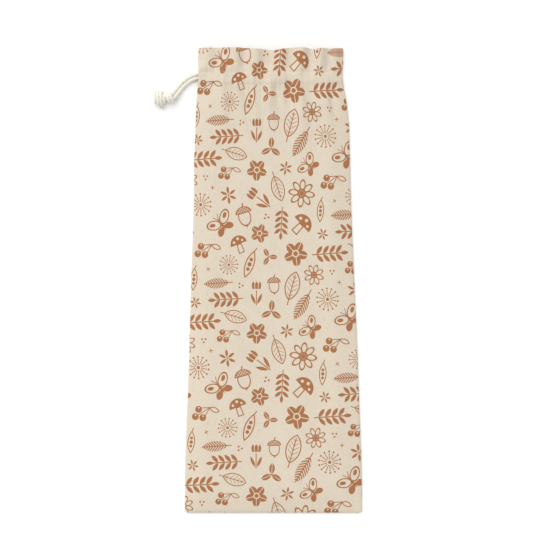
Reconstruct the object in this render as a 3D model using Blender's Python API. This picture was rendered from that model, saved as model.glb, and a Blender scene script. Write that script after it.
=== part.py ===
"""Bread bag of plain-woven cloth with a drawstring, lying flat and empty on a table.

Two panels of one cloth are sewn together along both sides and across the bottom. At the
mouth each panel is turned down into a hem, and two rows of stitches make a channel across
it. The cord comes out of the channel's left end as two strands, side by side, and their
ends are tied together in one knot.

+X is across the bag, +Y runs from the bottom to the mouth, +Z is up, and the bag lies on
z = 0 with the middle of its outline at the origin. Tables and sizes are in millimetres.
"""

import math
from bisect import bisect_right
from collections import namedtuple

import bmesh
import bpy
from mathutils import Vector

MM = 0.001

# The bag
WIDTH = 250.0
LENGTH = 657.0
CLOTH = 1.2
HEM_CLOTH = 2.0
GAP = 0.3
CORNER_ROUND = 6.0
LOW_END = -LENGTH / 2
MOUTH_END = LENGTH / 2

# The channel's two rows of stitches, measured along the bag
LOWER_STITCHES = 277.0
UPPER_STITCHES = 295.0
CHANNEL_RISE = 1.2
HEM_THICKENS_OVER = 6.0

# How high the front panel's underside stands above the back panel, and how it gets there
INNER_HEIGHT = 5.5
MOUTH_EXTRA = 1.4
MOUTH_EXTRA_FROM = 200.0
MOUTH_EXTRA_OVER = 60.0
SIDE_SLOPE = 36.0
LOW_SLOPE = 40.0
SLOPE_POWER = 2.2

# The drawstring
STRAND = 4.9
STRAND_SPACING = STRAND + GAP
STRAND_POINTS = 16
CORD_HOLE_ALONG = 289.2
CORD_HOLE_HALF = 9.0
CORD_HOLE_FADE = 15.0
CORD_HOLE_REACH = 34.0
CORD_HOLE_SLACK = 0.15

# How finely the panels are divided. Crowding gathers the columns towards the sides.
FRONT_COLUMNS = 56
FRONT_CROWDING = 0.3
BACK_COLUMNS = 18
BACK_CROWDING = 1.0
Run = namedtuple("Run", "start end count")
FRONT_ROWS = (Run(LOW_END, -290.0, 6), Run(-290.0, 206.0, 14), Run(206.0, MOUTH_END, 22))
BACK_ROWS = (Run(LOW_END, -316.0, 4), Run(-316.0, 206.0, 10), Run(206.0, MOUTH_END, 10))

# The bag's sides: it is drawn in a little towards the mouth, where the cord gathers it
Side = namedtuple("Side", "along left right")
SIDES = (
    Side(LOW_END, -WIDTH / 2, WIDTH / 2),
    Side(-268.0, -125.0, 124.6),
    Side(-198.0, -122.6, 122.0),
    Side(-127.0, -119.8, 119.6),
    Side(-56.0, -118.0, 116.6),
    Side(29.0, -115.4, 112.8),
    Side(100.0, -112.8, 110.0),
    Side(185.0, -112.0, 107.6),
    Side(227.0, -109.8, 106.2),
    Side(256.0, -108.8, 102.6),
    Side(277.0, -107.2, 98.8),
    Side(295.0, -105.6, 97.2),
    Side(308.0, -106.8, 98.4),
    Side(MOUTH_END, -105.8, 98.4),
)

# Where the mouth's edge dips between the hem's waves
Dip = namedtuple("Dip", "across half_width depth")
MOUTH_DIPS = (
    Dip(-24.0, 12.0, 1.8),
    Dip(2.0, 14.0, 3.6),
    Dip(58.0, 8.0, 2.4),
    Dip(82.0, 12.0, 1.0),
)

# Soft ridges in the front panel. Each runs from its start to its end, and fades at both.
Fold = namedtuple("Fold", "start_across start_along end_across end_along half_width rise fade")
HEM_WAVES = (
    Fold(-93.0, 345.0, -93.0, 288.0, 9.0, 1.2, 12.0),
    Fold(-70.0, 345.0, -68.0, 284.0, 7.5, 2.3, 14.0),
    Fold(-50.0, 345.0, -51.0, 286.0, 7.0, 2.6, 14.0),
    Fold(-24.0, 345.0, -27.0, 284.0, 8.5, 2.9, 14.0),
    Fold(9.0, 345.0, 4.0, 286.0, 12.0, 2.1, 14.0),
    Fold(42.0, 345.0, 36.0, 284.0, 9.0, 2.9, 14.0),
    Fold(66.0, 345.0, 63.0, 286.0, 6.5, 2.5, 14.0),
    Fold(86.0, 345.0, 86.0, 288.0, 7.5, 1.8, 14.0),
)
GATHERS = (
    Fold(-94.0, 298.0, -89.0, 214.0, 7.0, 1.6, 32.0),
    Fold(-78.0, 300.0, -69.0, 204.0, 7.0, 2.0, 36.0),
    Fold(-53.0, 304.0, -35.0, 196.0, 6.5, 2.9, 38.0),
    Fold(-31.0, 304.0, -21.0, 198.0, 6.0, 2.8, 38.0),
    Fold(-5.0, 302.0, -3.0, 190.0, 7.5, 2.7, 38.0),
    Fold(13.0, 300.0, 17.0, 220.0, 6.5, 1.8, 32.0),
    Fold(30.0, 304.0, 45.0, 186.0, 7.5, 2.9, 40.0),
    Fold(53.0, 302.0, 66.0, 218.0, 6.5, 2.0, 34.0),
    Fold(67.0, 296.0, 85.0, 188.0, 7.0, 2.3, 38.0),
    Fold(87.0, 298.0, 96.0, 222.0, 6.0, 1.5, 32.0),
)
LONG_FOLDS = (
    Fold(-88.0, 250.0, -104.0, -330.0, 17.0, 0.8, 60.0),
    Fold(-40.0, 240.0, -58.0, -300.0, 22.0, 1.1, 70.0),
    Fold(-6.0, 230.0, -12.0, -120.0, 15.0, 0.8, 80.0),
    Fold(40.0, 230.0, 30.0, -320.0, 20.0, 1.2, 70.0),
    Fold(78.0, 240.0, 86.0, -290.0, 14.0, 1.2, 70.0),
)

# The pair of strands, as one line midway between them, from inside the channel to the knot
Point = namedtuple("Point", "across along up")
INSIDE_UP = CLOTH + GAP + STRAND / 2
OFF_FLOOR = 0.05
FLOOR_UP = STRAND / 2 + OFF_FLOOR
CORD_ROUTE = (
    Point(-90.0, 289.6, INSIDE_UP),
    Point(-95.0, 289.7, INSIDE_UP),
    Point(-100.0, 289.6, INSIDE_UP),
    Point(-105.5, 289.2, INSIDE_UP),
    Point(-109.5, 288.4, INSIDE_UP - 0.3),
    Point(-113.5, 287.2, INSIDE_UP - 0.8),
    Point(-117.5, 285.4, INSIDE_UP - 1.2),
    Point(-121.3, 283.0, FLOOR_UP + 0.1),
    Point(-124.8, 280.2, FLOOR_UP),
    Point(-128.2, 277.0, FLOOR_UP),
    Point(-131.4, 273.6, FLOOR_UP + 0.1),
    Point(-134.4, 270.0, FLOOR_UP + 0.6),
    Point(-137.0, 266.6, FLOOR_UP + 1.4),
    Point(-139.4, 263.4, FLOOR_UP + 2.4),
    Point(-141.6, 260.6, FLOOR_UP + 3.3),
    Point(-143.6, 258.4, FLOOR_UP + 3.8),
)

# The knot: one strand wound round the others in two bundles, then its short tail
Wrap = namedtuple(
    "Wrap",
    "start_across start_along end_across end_along up half_width half_height start_turn turns lean",
)
WRAPS = (
    Wrap(-142.8, 259.6, -150.2, 257.4, 6.5, 5.6, 4.2, 0.75, 1.9, 1.2),
    Wrap(-154.6, 258.8, -167.0, 259.8, 7.0, 7.3, 4.9, 0.25, 2.9, 1.4),
)
WRAP_STEPS = 16
WRAP_TUCK = 0.42
CORE_ROUTE = (
    Point(-143.8, 258.8, 6.4),
    Point(-150.0, 257.8, 6.6),
    Point(-158.0, 259.0, 6.9),
    Point(-168.4, 259.8, 6.9),
)
CORE = 8.8
TAIL_ROUTE = (
    Point(-156.0, 257.5, 6.6),
    Point(-156.8, 253.0, 5.6),
    Point(-157.4, 248.6, 3.8),
    Point(-158.0, 243.8, FLOOR_UP),
)
CORE_POINTS = 8
TAIL_POINTS = 8
KNOT_GRAIN = 1.25
SOCKET_POINTS = 5

# How far either side of a point its direction is read, the widest gap that is welded, and
# the sharpest edge that is shaded smooth
DIRECTION_REACH = 0.5
WELD = 0.01
SMOOTH_UNDER_DEGREES = 50

CLOTH_COLOUR = (0.740, 0.664, 0.539, 1.0)
CORD_COLOUR = (0.800, 0.760, 0.670, 1.0)


def smooth(part):
    """A soft step from 0 to 1."""
    part = min(max(part, 0.0), 1.0)
    return part * part * (3.0 - 2.0 * part)


def hump(distance, half_width):
    """A soft bump, 1 in the middle."""
    return math.exp(-((distance / half_width) ** 2))


def rounded_step(distance, reach):
    """From 0 at an edge to 1 at this reach from it, steep first and then level."""
    left_over = 1.0 - min(max(distance / reach, 0.0), 1.0)
    return 1.0 - left_over**SLOPE_POWER


def read_curve(places, values, at):
    """The value at one place on a smooth curve through the given values."""
    last = len(places) - 1
    low = min(max(bisect_right(places, at) - 1, 0), last - 1)
    span = places[low + 1] - places[low]

    def slope(i):
        before, after = max(i - 1, 0), min(i + 1, last)
        return (values[after] - values[before]) / (places[after] - places[before])

    t = (at - places[low]) / span
    start = (1 + 2 * t) * (1 - t) ** 2 * values[low]
    end = t * t * (3 - 2 * t) * values[low + 1]
    lean = t * (1 - t) ** 2 * slope(low) - t * t * (1 - t) * slope(low + 1)
    return start + end + lean * span


def side_at(along):
    """The bag's left and right edges, this far along it."""
    places = [side.along for side in SIDES]
    left = read_curve(places, [side.left for side in SIDES], along)
    right = read_curve(places, [side.right for side in SIDES], along)
    return left, right


def end_shift(across, along):
    """How far the mouth's dips and the bottom's round corners move a point along the bag."""
    dip = sum(d.depth * hump(across - d.across, d.half_width) for d in MOUTH_DIPS)
    near_mouth = smooth((along - UPPER_STITCHES) / (MOUTH_END - UPPER_STITCHES))
    past = min(max(abs(across) - (WIDTH / 2 - CORNER_ROUND), 0.0), CORNER_ROUND)
    corner = CORNER_ROUND - math.sqrt(CORNER_ROUND**2 - past**2)
    near_bottom = smooth((LOW_END + 3 * CORNER_ROUND - along) / (3 * CORNER_ROUND))
    return corner * near_bottom - dip * near_mouth


def fold_rise(fold, across, along):
    """How high one fold stands at a point."""
    share = (along - fold.start_along) / (fold.end_along - fold.start_along)
    middle = fold.start_across + share * (fold.end_across - fold.start_across)
    length = abs(fold.end_along - fold.start_along)
    fade_in = smooth(share * length / fold.fade)
    fade_out = smooth((1.0 - share) * length / fold.fade)
    return fold.rise * hump(across - middle, fold.half_width) * fade_in * fade_out


def one_layer(along):
    """The back panel's thickness."""
    return CLOTH


def hemmed_layers(along):
    """The front panel's thickness: one layer, or the hem's two above the lower stitches."""
    past_stitches = (along - LOWER_STITCHES) / HEM_THICKENS_OVER + 0.5
    return CLOTH + smooth(past_stitches) * (HEM_CLOTH - CLOTH)


def back_height(across, along):
    """The back panel lies flat on the table."""
    return CLOTH


def front_height(across, along):
    """The front panel's upper face above the table. It meets the back panel at the seams."""
    left, right = side_at(along)
    from_side = min(across - left, right - across)
    slope = rounded_step(from_side, SIDE_SLOPE) * rounded_step(along - LOW_END, LOW_SLOPE)
    channel_middle = (LOWER_STITCHES + UPPER_STITCHES) / 2
    channel_half = (UPPER_STITCHES - LOWER_STITCHES) / 2

    raised = INNER_HEIGHT - GAP
    raised += MOUTH_EXTRA * smooth((along - MOUTH_EXTRA_FROM) / MOUTH_EXTRA_OVER)
    raised += CHANNEL_RISE * hump(along - channel_middle, channel_half)
    for fold in HEM_WAVES + GATHERS + LONG_FOLDS:
        raised += fold_rise(fold, across, along)
    height = CLOTH + GAP + hemmed_layers(along) + slope * raised

    # The channel's left end stands open for the cord.
    beside = max(abs(along - CORD_HOLE_ALONG) - CORD_HOLE_HALF, 0.0)
    opened = 1.0 - smooth(beside / CORD_HOLE_FADE)
    opened *= 1.0 - smooth((across - left) / CORD_HOLE_REACH)
    over_cord = INSIDE_UP + STRAND / 2 + GAP + HEM_CLOTH + CORD_HOLE_SLACK
    return height + opened * max(over_cord - height, 0.0)


def row_places(runs):
    """Places along the bag where a panel has a row of points."""
    rows = [runs[0].start]
    for run in runs:
        step = (run.end - run.start) / run.count
        rows += [run.start + step * (i + 1) for i in range(run.count)]
    return rows


def column_share(share, crowding):
    """Where a column stands from the left side, 0, to the right, 1."""
    crowded = (1.0 - math.cos(math.pi * share)) / 2
    return share + crowding * (crowded - share)


def new_material(name, colour, roughness):
    material = bpy.data.materials.new(name)
    material.use_nodes = True
    shader = material.node_tree.nodes["Principled BSDF"]
    shader.inputs["Base Color"].default_value = colour
    shader.inputs["Roughness"].default_value = roughness
    shader.inputs["Metallic"].default_value = 0.0
    return material


def new_object(name, data):
    made = bpy.data.objects.new(name, data)
    bpy.context.scene.collection.objects.link(made)
    return made


def new_piece(name, mesh, material):
    """A mesh in the scene as an object of this name, smooth but for its sharp edges."""
    mesh.materials.append(material)
    mesh.shade_smooth()
    mesh.set_sharp_from_angle(angle=math.radians(SMOOTH_UNDER_DEGREES))
    return new_object(name, mesh)


def make_panel(name, columns, crowding, runs, height, layers, material):
    """One panel: a grid laid on its upper face, then given the cloth's thickness downwards."""
    rows = row_places(runs)
    shape = bmesh.new()
    bmesh.ops.create_grid(shape, x_segments=columns, y_segments=len(rows) - 1, size=1.0)
    row_of_point = []
    for point in shape.verts:
        row = rows[round((point.co.y + 1) / 2 * (len(rows) - 1))]
        left, right = side_at(row)
        across = left + (right - left) * column_share((point.co.x + 1) / 2, crowding)
        along = row + end_shift(across, row)
        point.co = Vector((across, along, height(across, row))) * MM
        row_of_point.append(row)
    mesh = bpy.data.meshes.new(name)
    shape.to_mesh(mesh)
    shape.free()
    panel = new_piece(name, mesh, material)

    share = panel.vertex_groups.new(name="share of the thickness")
    for index, row in enumerate(row_of_point):
        share.add([index], layers(row) / HEM_CLOTH, "REPLACE")
    thicken = panel.modifiers.new("cloth", "SOLIDIFY")
    thicken.thickness = HEM_CLOTH * MM
    thicken.offset = -1.0
    thicken.vertex_group = share.name
    return panel


def curve_points(route, count, sideways=0.0):
    """Points at even steps on a smooth curve through a route, moved sideways on the table."""
    corners = [Vector(point) for point in route]
    places = [0.0]
    for before, after in zip(corners, corners[1:]):
        places.append(places[-1] + (after - before).length)

    def at(place):
        return Vector([read_curve(places, [c[axis] for c in corners], place) for axis in range(3)])

    points = []
    for i in range(count):
        place = places[-1] * i / (count - 1)
        ahead = at(min(place + DIRECTION_REACH, places[-1])) - at(max(place - DIRECTION_REACH, 0.0))
        right = Vector((ahead.y, -ahead.x, 0.0)).normalized()
        points.append(at(place) + right * sideways)
    return points


def wrap_points(wrap):
    """The turns of one bundle of the knot. Its ends are tucked in towards the middle."""
    start = Vector((wrap.start_across, wrap.start_along, wrap.up))
    end = Vector((wrap.end_across, wrap.end_along, wrap.up))
    ahead = (end - start).normalized()
    right = Vector((ahead.y, -ahead.x, 0.0))
    count = round(wrap.turns * WRAP_STEPS)
    points = []
    for i in range(count + 1):
        share = i / count
        angle = 2 * math.pi * (wrap.start_turn + wrap.turns * share)
        out = 1.0 - WRAP_TUCK * (2 * share - 1.0) ** 2
        point = start.lerp(end, share) + ahead * (wrap.lean * math.cos(angle))
        point += right * (math.cos(angle) * wrap.half_width * out)
        point.z += math.sin(angle) * wrap.half_height * out
        points.append(point)
    return points


def make_strand(name, points, diameter):
    """A round strand of cord along these points, closed at both ends."""
    route = bpy.data.curves.new(name, "CURVE")
    route.dimensions = "3D"
    route.bevel_depth = diameter / 2 * MM
    route.bevel_resolution = 3
    route.use_fill_caps = True
    line = route.splines.new("POLY")
    line.points.add(len(points) - 1)
    for place, point in zip(line.points, points):
        place.co = (*(point * MM), 1.0)
    line.use_smooth = True
    return new_object(name, route)


def mesh_of(made):
    """What an object looks like with its modifiers, as a mesh. The object itself is removed."""
    bpy.context.view_layer.update()
    graph = bpy.context.evaluated_depsgraph_get()
    mesh = bpy.data.meshes.new_from_object(made.evaluated_get(graph))
    bpy.data.objects.remove(made)
    return mesh


def closed_tubes(name, runs):
    """One mesh of closed tubes, from (points, diameter) pairs."""
    shape = bmesh.new()
    for points, diameter in runs:
        shape.from_mesh(mesh_of(make_strand(name, points, diameter)))
    bmesh.ops.remove_doubles(shape, verts=shape.verts, dist=WELD * MM)
    mesh = bpy.data.meshes.new(name)
    shape.to_mesh(mesh)
    shape.free()
    return mesh


def strand_points(side):
    """One strand of the pair: side is 1 for the upper one and -1 for the lower one."""
    return curve_points(CORD_ROUTE, STRAND_POINTS, side * STRAND_SPACING / 2)


def make_knot(name, material):
    """The knot, its core and its tail, fused into one solid with a flat spot where it rests."""
    wound = [point for wrap in WRAPS for point in wrap_points(wrap)]
    runs = (
        (wound, STRAND),
        (curve_points(CORE_ROUTE, CORE_POINTS), CORE),
        (curve_points(TAIL_ROUTE, TAIL_POINTS), STRAND),
    )
    loose = new_object("wound cord", closed_tubes("wound cord", runs))
    fuse = loose.modifiers.new("fuse", "REMESH")
    fuse.mode = "VOXEL"
    fuse.voxel_size = KNOT_GRAIN * MM
    mesh = mesh_of(loose)
    for point in mesh.vertices:
        point.co.z = max(point.co.z, 0.0)
    knot = new_piece(name, mesh, material)

    # Each strand goes a little way into the knot, clear of it all round.
    for side in (1, -1):
        points = strand_points(side)[-SOCKET_POINTS:]
        points.append(points[-1] + (points[-1] - points[-2]).normalized() * GAP)
        socket_name = f"socket {side}"
        socket = new_object(socket_name, closed_tubes(socket_name, ((points, STRAND + 2 * GAP),)))
        socket.hide_render = True
        socket.display_type = "WIRE"
        cut = knot.modifiers.new(socket_name, "BOOLEAN")
        cut.operation = "DIFFERENCE"
        cut.solver = "MANIFOLD"
        cut.object = socket
    return knot


def clear_scene():
    for old in list(bpy.data.objects):
        bpy.data.objects.remove(old, do_unlink=True)


def main():
    clear_scene()
    cloth = new_material("unbleached cloth", CLOTH_COLOUR, 0.9)
    cord = new_material("cotton cord", CORD_COLOUR, 0.85)
    make_panel(
        "back_panel", BACK_COLUMNS, BACK_CROWDING, BACK_ROWS, back_height, one_layer, cloth
    )
    make_panel(
        "front_panel", FRONT_COLUMNS, FRONT_CROWDING, FRONT_ROWS, front_height, hemmed_layers, cloth
    )
    for name, side in (("drawstring_upper", 1), ("drawstring_lower", -1)):
        strand = make_strand(name, strand_points(side), STRAND)
        strand.data.materials.append(cord)
    make_knot("drawstring_knot", cord)


main()
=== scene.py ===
import math
from bisect import bisect_right
from collections import namedtuple

import bpy
import numpy as np
from bpy.props import FloatProperty, FloatVectorProperty, IntProperty, PointerProperty
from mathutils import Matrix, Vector
from mathutils.bvhtree import BVHTree


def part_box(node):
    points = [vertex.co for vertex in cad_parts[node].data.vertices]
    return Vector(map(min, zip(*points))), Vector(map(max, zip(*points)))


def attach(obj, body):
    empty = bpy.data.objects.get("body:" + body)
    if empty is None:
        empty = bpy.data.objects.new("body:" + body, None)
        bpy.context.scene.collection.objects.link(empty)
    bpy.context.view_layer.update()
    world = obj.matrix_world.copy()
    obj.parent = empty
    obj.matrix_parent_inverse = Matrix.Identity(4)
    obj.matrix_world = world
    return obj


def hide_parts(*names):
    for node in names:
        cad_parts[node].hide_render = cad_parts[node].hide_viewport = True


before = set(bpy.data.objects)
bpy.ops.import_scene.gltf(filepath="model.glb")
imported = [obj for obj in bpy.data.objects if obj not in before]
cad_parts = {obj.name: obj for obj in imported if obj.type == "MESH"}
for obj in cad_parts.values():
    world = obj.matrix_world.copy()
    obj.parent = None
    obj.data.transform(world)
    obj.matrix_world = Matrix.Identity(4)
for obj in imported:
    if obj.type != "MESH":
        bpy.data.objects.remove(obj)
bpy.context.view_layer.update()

bl_info = {
    "name": "Printed Bread Bag",
    "version": (1, 0, 0),
    "blender": (4, 5, 0),
    "location": "View3D > Sidebar > Bread Bag",
    "description": "A long cloth bread bag with a gathered mouth, a knotted cord and a plant print",
    "category": "Object",
}

MM = 0.001

# Where the bag lies, read from its solids: +X across, +Y from the sewn bottom to the mouth
FRONT_LOW, FRONT_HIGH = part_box("front_panel")
BACK_LOW, BACK_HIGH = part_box("back_panel")
BOTTOM = FRONT_LOW.y
MOUTH = FRONT_HIGH.y
FLAT_WIDTH = BACK_HIGH.x - BACK_LOW.x
BACK_TOP = BACK_HIGH.z

# The two rows of stitches that make the cord's channel, measured along the bag
LOWER_STITCHES = 0.277
UPPER_STITCHES = 0.295

# The cord's route, midway between its two strands, from inside the channel to the knot
STRAND = 0.0049
STRAND_SPACING = 0.0052
CORD_EXIT = (-0.1055, 0.2892, 0.00395)
CORD_ROUTE = (
    (-0.0900, 0.2896, 0.00395),
    (-0.0950, 0.2897, 0.00395),
    (-0.1000, 0.2896, 0.00395),
    (-0.1055, 0.2892, 0.00395),
    (-0.1095, 0.2884, 0.00365),
    (-0.1135, 0.2872, 0.00315),
    (-0.1175, 0.2854, 0.00275),
    (-0.1213, 0.2830, 0.00260),
    (-0.1248, 0.2802, 0.00250),
    (-0.1282, 0.2770, 0.00250),
    (-0.1314, 0.2736, 0.00260),
    (-0.1344, 0.2700, 0.00310),
    (-0.1370, 0.2666, 0.00390),
    (-0.1394, 0.2634, 0.00490),
    (-0.1416, 0.2606, 0.00580),
    (-0.1436, 0.2584, 0.00630),
)

# The knot's two bundles of turns and the tail between them. Lengths are in millimetres, and start_turn
# and turns count the cord's rounds.
Wrap = namedtuple("Wrap", "start end half_width half_height start_turn turns lean")
WRAPS = (
    Wrap((-142.8, 259.6, 6.5), (-150.2, 257.4, 6.5), 5.6, 4.2, 0.75, 1.9, 1.2),
    Wrap((-154.8, 258.6, 7.0), (-168.6, 258.0, 7.0), 8.0, 4.9, 0.25, 3.4, 0.7),
)
WRAP_STEPS = 16
WRAP_TUCK = 0.24
KNOT_CORE = ((-143.8, 258.8, 6.4), (-150.0, 257.8, 6.6), (-158.0, 259.0, 6.9), (-168.4, 259.8, 6.9))
KNOT_TAIL = ((-156.0, 257.5, 6.6), (-156.8, 253.0, 5.6), (-157.4, 248.6, 3.8), (-157.9, 245.4, 2.8))

# Creases in the front panel, in millimetres: where each starts and where it ends, across and along the
# bag, its half width and its rise, which is above 0 for a ridge and below 0 for a trough.
CREASES = (
    (-47.5, 292.0, -31.0, 219.0, 2.8, -1.25),
    (-26.5, 292.0, -22.0, 236.0, 2.4, -0.94),
    (2.0, 278.0, 10.0, 244.0, 4.2, -1.38),
    (39.0, 290.0, 49.0, 233.0, 2.8, -1.19),
    (45.0, 250.0, 68.0, 168.0, 4.6, -0.94),
    (80.0, 288.0, 83.5, 224.0, 3.0, -1.06),
    (-87.5, 284.0, -85.5, 254.0, 3.4, -0.94),
    (-56.0, 284.0, -46.5, 252.0, 2.4, 0.70),
    (-34.0, 284.0, -24.0, 244.0, 2.2, 0.65),
    (-10.5, 286.0, -15.0, 219.0, 2.8, 0.65),
    (26.0, 284.0, 32.5, 248.0, 2.4, 0.70),
    (64.0, 284.0, 73.0, 234.0, 2.4, 0.65),
    (-76.0, 334.0, -76.5, 296.0, 3.6, -0.45),
    (-64.5, 334.0, -63.0, 292.0, 3.0, -0.35),
    (-42.5, 334.0, -45.0, 290.0, 3.8, -0.65),
    (-14.0, 334.0, -18.0, 290.0, 4.2, -0.65),
    (21.0, 334.0, 18.0, 294.0, 3.8, -0.55),
    (52.0, 334.0, 47.0, 290.0, 3.8, -0.65),
    (77.0, 334.0, 77.0, 292.0, 3.6, -0.55),
    (97.0, 326.0, 93.0, 296.0, 2.6, -0.45),
    (-72.0, 290.0, -66.0, 238.0, 7.0, 1.60),
    (-50.0, 282.0, -34.0, 208.0, 6.5, -2.00),
    (-4.0, 292.0, -9.0, 230.0, 6.5, 2.10),
    (17.0, 294.0, 24.0, 226.0, 8.5, -2.90),
    (37.0, 290.0, 47.0, 224.0, 6.5, 1.90),
    (46.0, 278.0, 73.0, 198.0, 5.5, -2.00),
    (83.0, 282.0, 89.0, 210.0, 6.0, -1.90),
)


def smooth(part):
    """A soft step from 0 to 1."""
    part = np.clip(part, 0.0, 1.0)
    return part * part * (3.0 - 2.0 * part)


def hump(distance, half_width):
    """A soft bump, 1 in the middle."""
    return np.exp(-((distance / half_width) ** 2))


def read_curve(places, values, at):
    """The value at one place on a smooth curve through the given values."""
    last = len(places) - 1
    low = min(max(bisect_right(places, at) - 1, 0), last - 1)
    span = places[low + 1] - places[low]

    def slope(i):
        before, after = max(i - 1, 0), min(i + 1, last)
        return (values[after] - values[before]) / (places[after] - places[before])

    t = (at - places[low]) / span
    start = (1 + 2 * t) * (1 - t) ** 2 * values[low]
    end = t * t * (3 - 2 * t) * values[low + 1]
    lean = t * (1 - t) ** 2 * slope(low) - t * t * (1 - t) * slope(low + 1)
    return start + end + lean * span


def curve_points(route, spacing, sideways=0.0):
    """Points this far apart on a smooth curve through a route, moved sideways on the table."""
    corners = [Vector(point) for point in route]
    places = [0.0]
    for before, after in zip(corners, corners[1:]):
        places.append(places[-1] + (after - before).length)

    def at(place):
        return Vector([read_curve(places, [c[axis] for c in corners], place) for axis in range(3)])

    count = max(round(places[-1] / spacing), 2)
    reach = spacing / 2
    points = []
    for i in range(count + 1):
        place = places[-1] * i / count
        ahead = at(min(place + reach, places[-1])) - at(max(place - reach, 0.0))
        right = Vector((ahead.y, -ahead.x, 0.0)).normalized()
        points.append(at(place) + right * sideways)
    return points


# ---- objects


def deselect_all():
    if bpy.context.object and bpy.context.object.mode != "OBJECT":
        bpy.ops.object.mode_set(mode="OBJECT")
    bpy.ops.object.select_all(action="DESELECT")


def take(piece):
    """Select only this object and make it active."""
    deselect_all()
    piece.select_set(True)
    bpy.context.view_layer.objects.active = piece


def edit(piece, *steps):
    """Take steps in edit mode on all of a piece. A step is an operator and its settings."""
    take(piece)
    bpy.ops.object.mode_set(mode="EDIT")
    bpy.ops.mesh.select_all(action="SELECT")
    for step, settings in steps:
        step(**settings)
    bpy.ops.object.mode_set(mode="OBJECT")


def finish_piece(piece, slot, *nodes):
    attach(piece, "root")
    if nodes:
        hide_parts(*nodes)


# ---- shader formulas


def connect(value, entry):
    """Link a node's entry to a Term or to another node's result, or give it this value."""
    if isinstance(value, Term):
        value = value.socket
    if isinstance(value, bpy.types.NodeSocket):
        entry.id_data.links.new(value, entry)
    else:
        entry.default_value = value


def add_node(tree, kind, entries, **settings):
    """A new node with these settings and entries."""
    node = tree.nodes.new("ShaderNode" + kind)
    for name, value in settings.items():
        setattr(node, name, value)
    for name, value in entries.items():
        connect(value, node.inputs[name])
    return node


class Term:
    """A number in a node tree that can be added, multiplied and compared as in a formula."""

    def __init__(self, socket):
        self.socket = socket

    def to(self, operation, *others):
        entries = dict(enumerate((self,) + others))
        return Term(add_node(self.socket.id_data, "Math", entries, operation=operation).outputs[0])

    def __add__(self, other):
        return self.to("ADD", other)

    def __sub__(self, other):
        return self.to("SUBTRACT", other)

    def __rsub__(self, other):
        return (self * -1.0) + other

    def __mul__(self, other):
        return self.to("MULTIPLY", other)

    __rmul__ = __mul__

    def __truediv__(self, other):
        return self.to("DIVIDE", other)

    def __abs__(self):
        return self.to("ABSOLUTE")


def least(first, *others):
    for other in others:
        first = first.to("MINIMUM", other)
    return first


def most(first, *others):
    for other in others:
        first = first.to("MAXIMUM", other)
    return first


def length(x, y):
    return (x * x + y * y).to("SQRT")


def soft_step(term, low, high):
    """From 0 at low to 1 at high."""
    entries = {"Value": term, "From Min": low, "From Max": high}
    node = add_node(term.socket.id_data, "MapRange", entries, interpolation_type="SMOOTHSTEP")
    return Term(node.outputs["Result"])


# Outlines as distances in millimetres: below 0 inside. Each takes the point as x and y.


def circle(x, y, across, along, radius):
    return length(x - across, y - along) - radius


def circles(x, y, *rows):
    """Several circles, each given as its place across and along and its radius."""
    return least(*(circle(x, y, *row) for row in rows))


def oval(x, y, across, along, half_width, half_height):
    reach = length((x - across) / half_width, (y - along) / half_height)
    return (reach - 1.0) * min(half_width, half_height)


def turned(x, y, degrees):
    """The point as seen after the shape is turned by this much."""
    c, s = math.cos(math.radians(degrees)), math.sin(math.radians(degrees))
    return x * c + y * s, y * c - x * s


def blade(x, y, across, along, half_length, half_width, degrees=0.0):
    """A leaf with two pointed ends, upright unless it is turned."""
    x, y = turned(x - across, y - along, degrees)
    radius = (half_length**2 + half_width**2) / (2 * half_width)
    return length(abs(x) + (radius - half_width), y) - radius


def stroke(x, y, start, end, half_width):
    """A straight line with round ends."""
    (x0, y0), (x1, y1) = start, end
    half = math.dist(start, end) / 2
    angle = math.degrees(math.atan2(y1 - y0, x1 - x0))
    along, beside = turned(x - (x0 + x1) / 2, y - (y0 + y1) / 2, angle)
    return length((abs(along) - half).to("MAXIMUM", 0.0), beside) - half_width


def line_of(outline, half_width=0.55):
    """The line round an outline."""
    return abs(outline) - half_width


def sector(x, y, count):
    """The point folded into one of this many equal sectors, the middle of it along x."""
    angle = y.to("ARCTAN2", x).to("PINGPONG", math.pi / count)
    reach = length(x, y)
    return reach * angle.to("COSINE"), reach * angle.to("SINE")


# ---- the print's motifs

# Each motif is drawn round its own middle, in millimetres, as the distance to its ink.


def daisy(x, y):
    u, v = sector(x, y, 8)
    return least(line_of(oval(u, v, 8.4, 0.0, 4.9, 2.7)), length(x, y) - 2.5)


def solid_blossom(x, y):
    u, v = sector(x, y, 5)
    petal = most(oval(u, v, 6.4, 0.0, 5.0, 3.9), 0.35 - abs(v), 3.4 - length(x, y))
    return least(petal, length(x, y) - 2.2)


def small_star(x, y):
    u, v = sector(x, y, 6)
    return least(blade(v, u, 0.0, 5.2, 4.0, 1.35), length(x, y) - 0.9)


def sprig(x, y):
    side = abs(x)
    slant = y - 0.8 * side
    pair = ((slant + 13.0) / 6.2).to("ROUND").to("MAXIMUM", 0.0).to("MINIMUM", 3.0)
    leaf = blade(side, y - pair * 6.2, 3.9, -9.6, 4.6, 1.75, -50.0)
    top = blade(x, y, 0.0, 14.2, 3.9, 1.7)
    return least(leaf, top, stroke(x, y, (0.0, -16.5), (0.0, 11.0), 0.5))


def veined_leaf(x, y):
    side = abs(x)
    outline = blade(x, y, 0.0, 1.5, 13.5, 6.8)
    veins = most((y - 0.9 * side).to("PINGPONG", 2.2) - 0.38, outline + 1.6)
    return least(line_of(outline), veins, stroke(x, y, (0.0, -17.0), (0.0, 12.0), 0.5))


def fern(x, y):
    outline = blade(x, y, 0.0, 1.0, 14.5, 5.6)
    barbs = most((y - 0.85 * abs(x)).to("PINGPONG", 1.45) - 0.82, outline)
    return least(barbs, stroke(x, y, (0.0, -17.0), (0.0, 14.0), 0.5))


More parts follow.
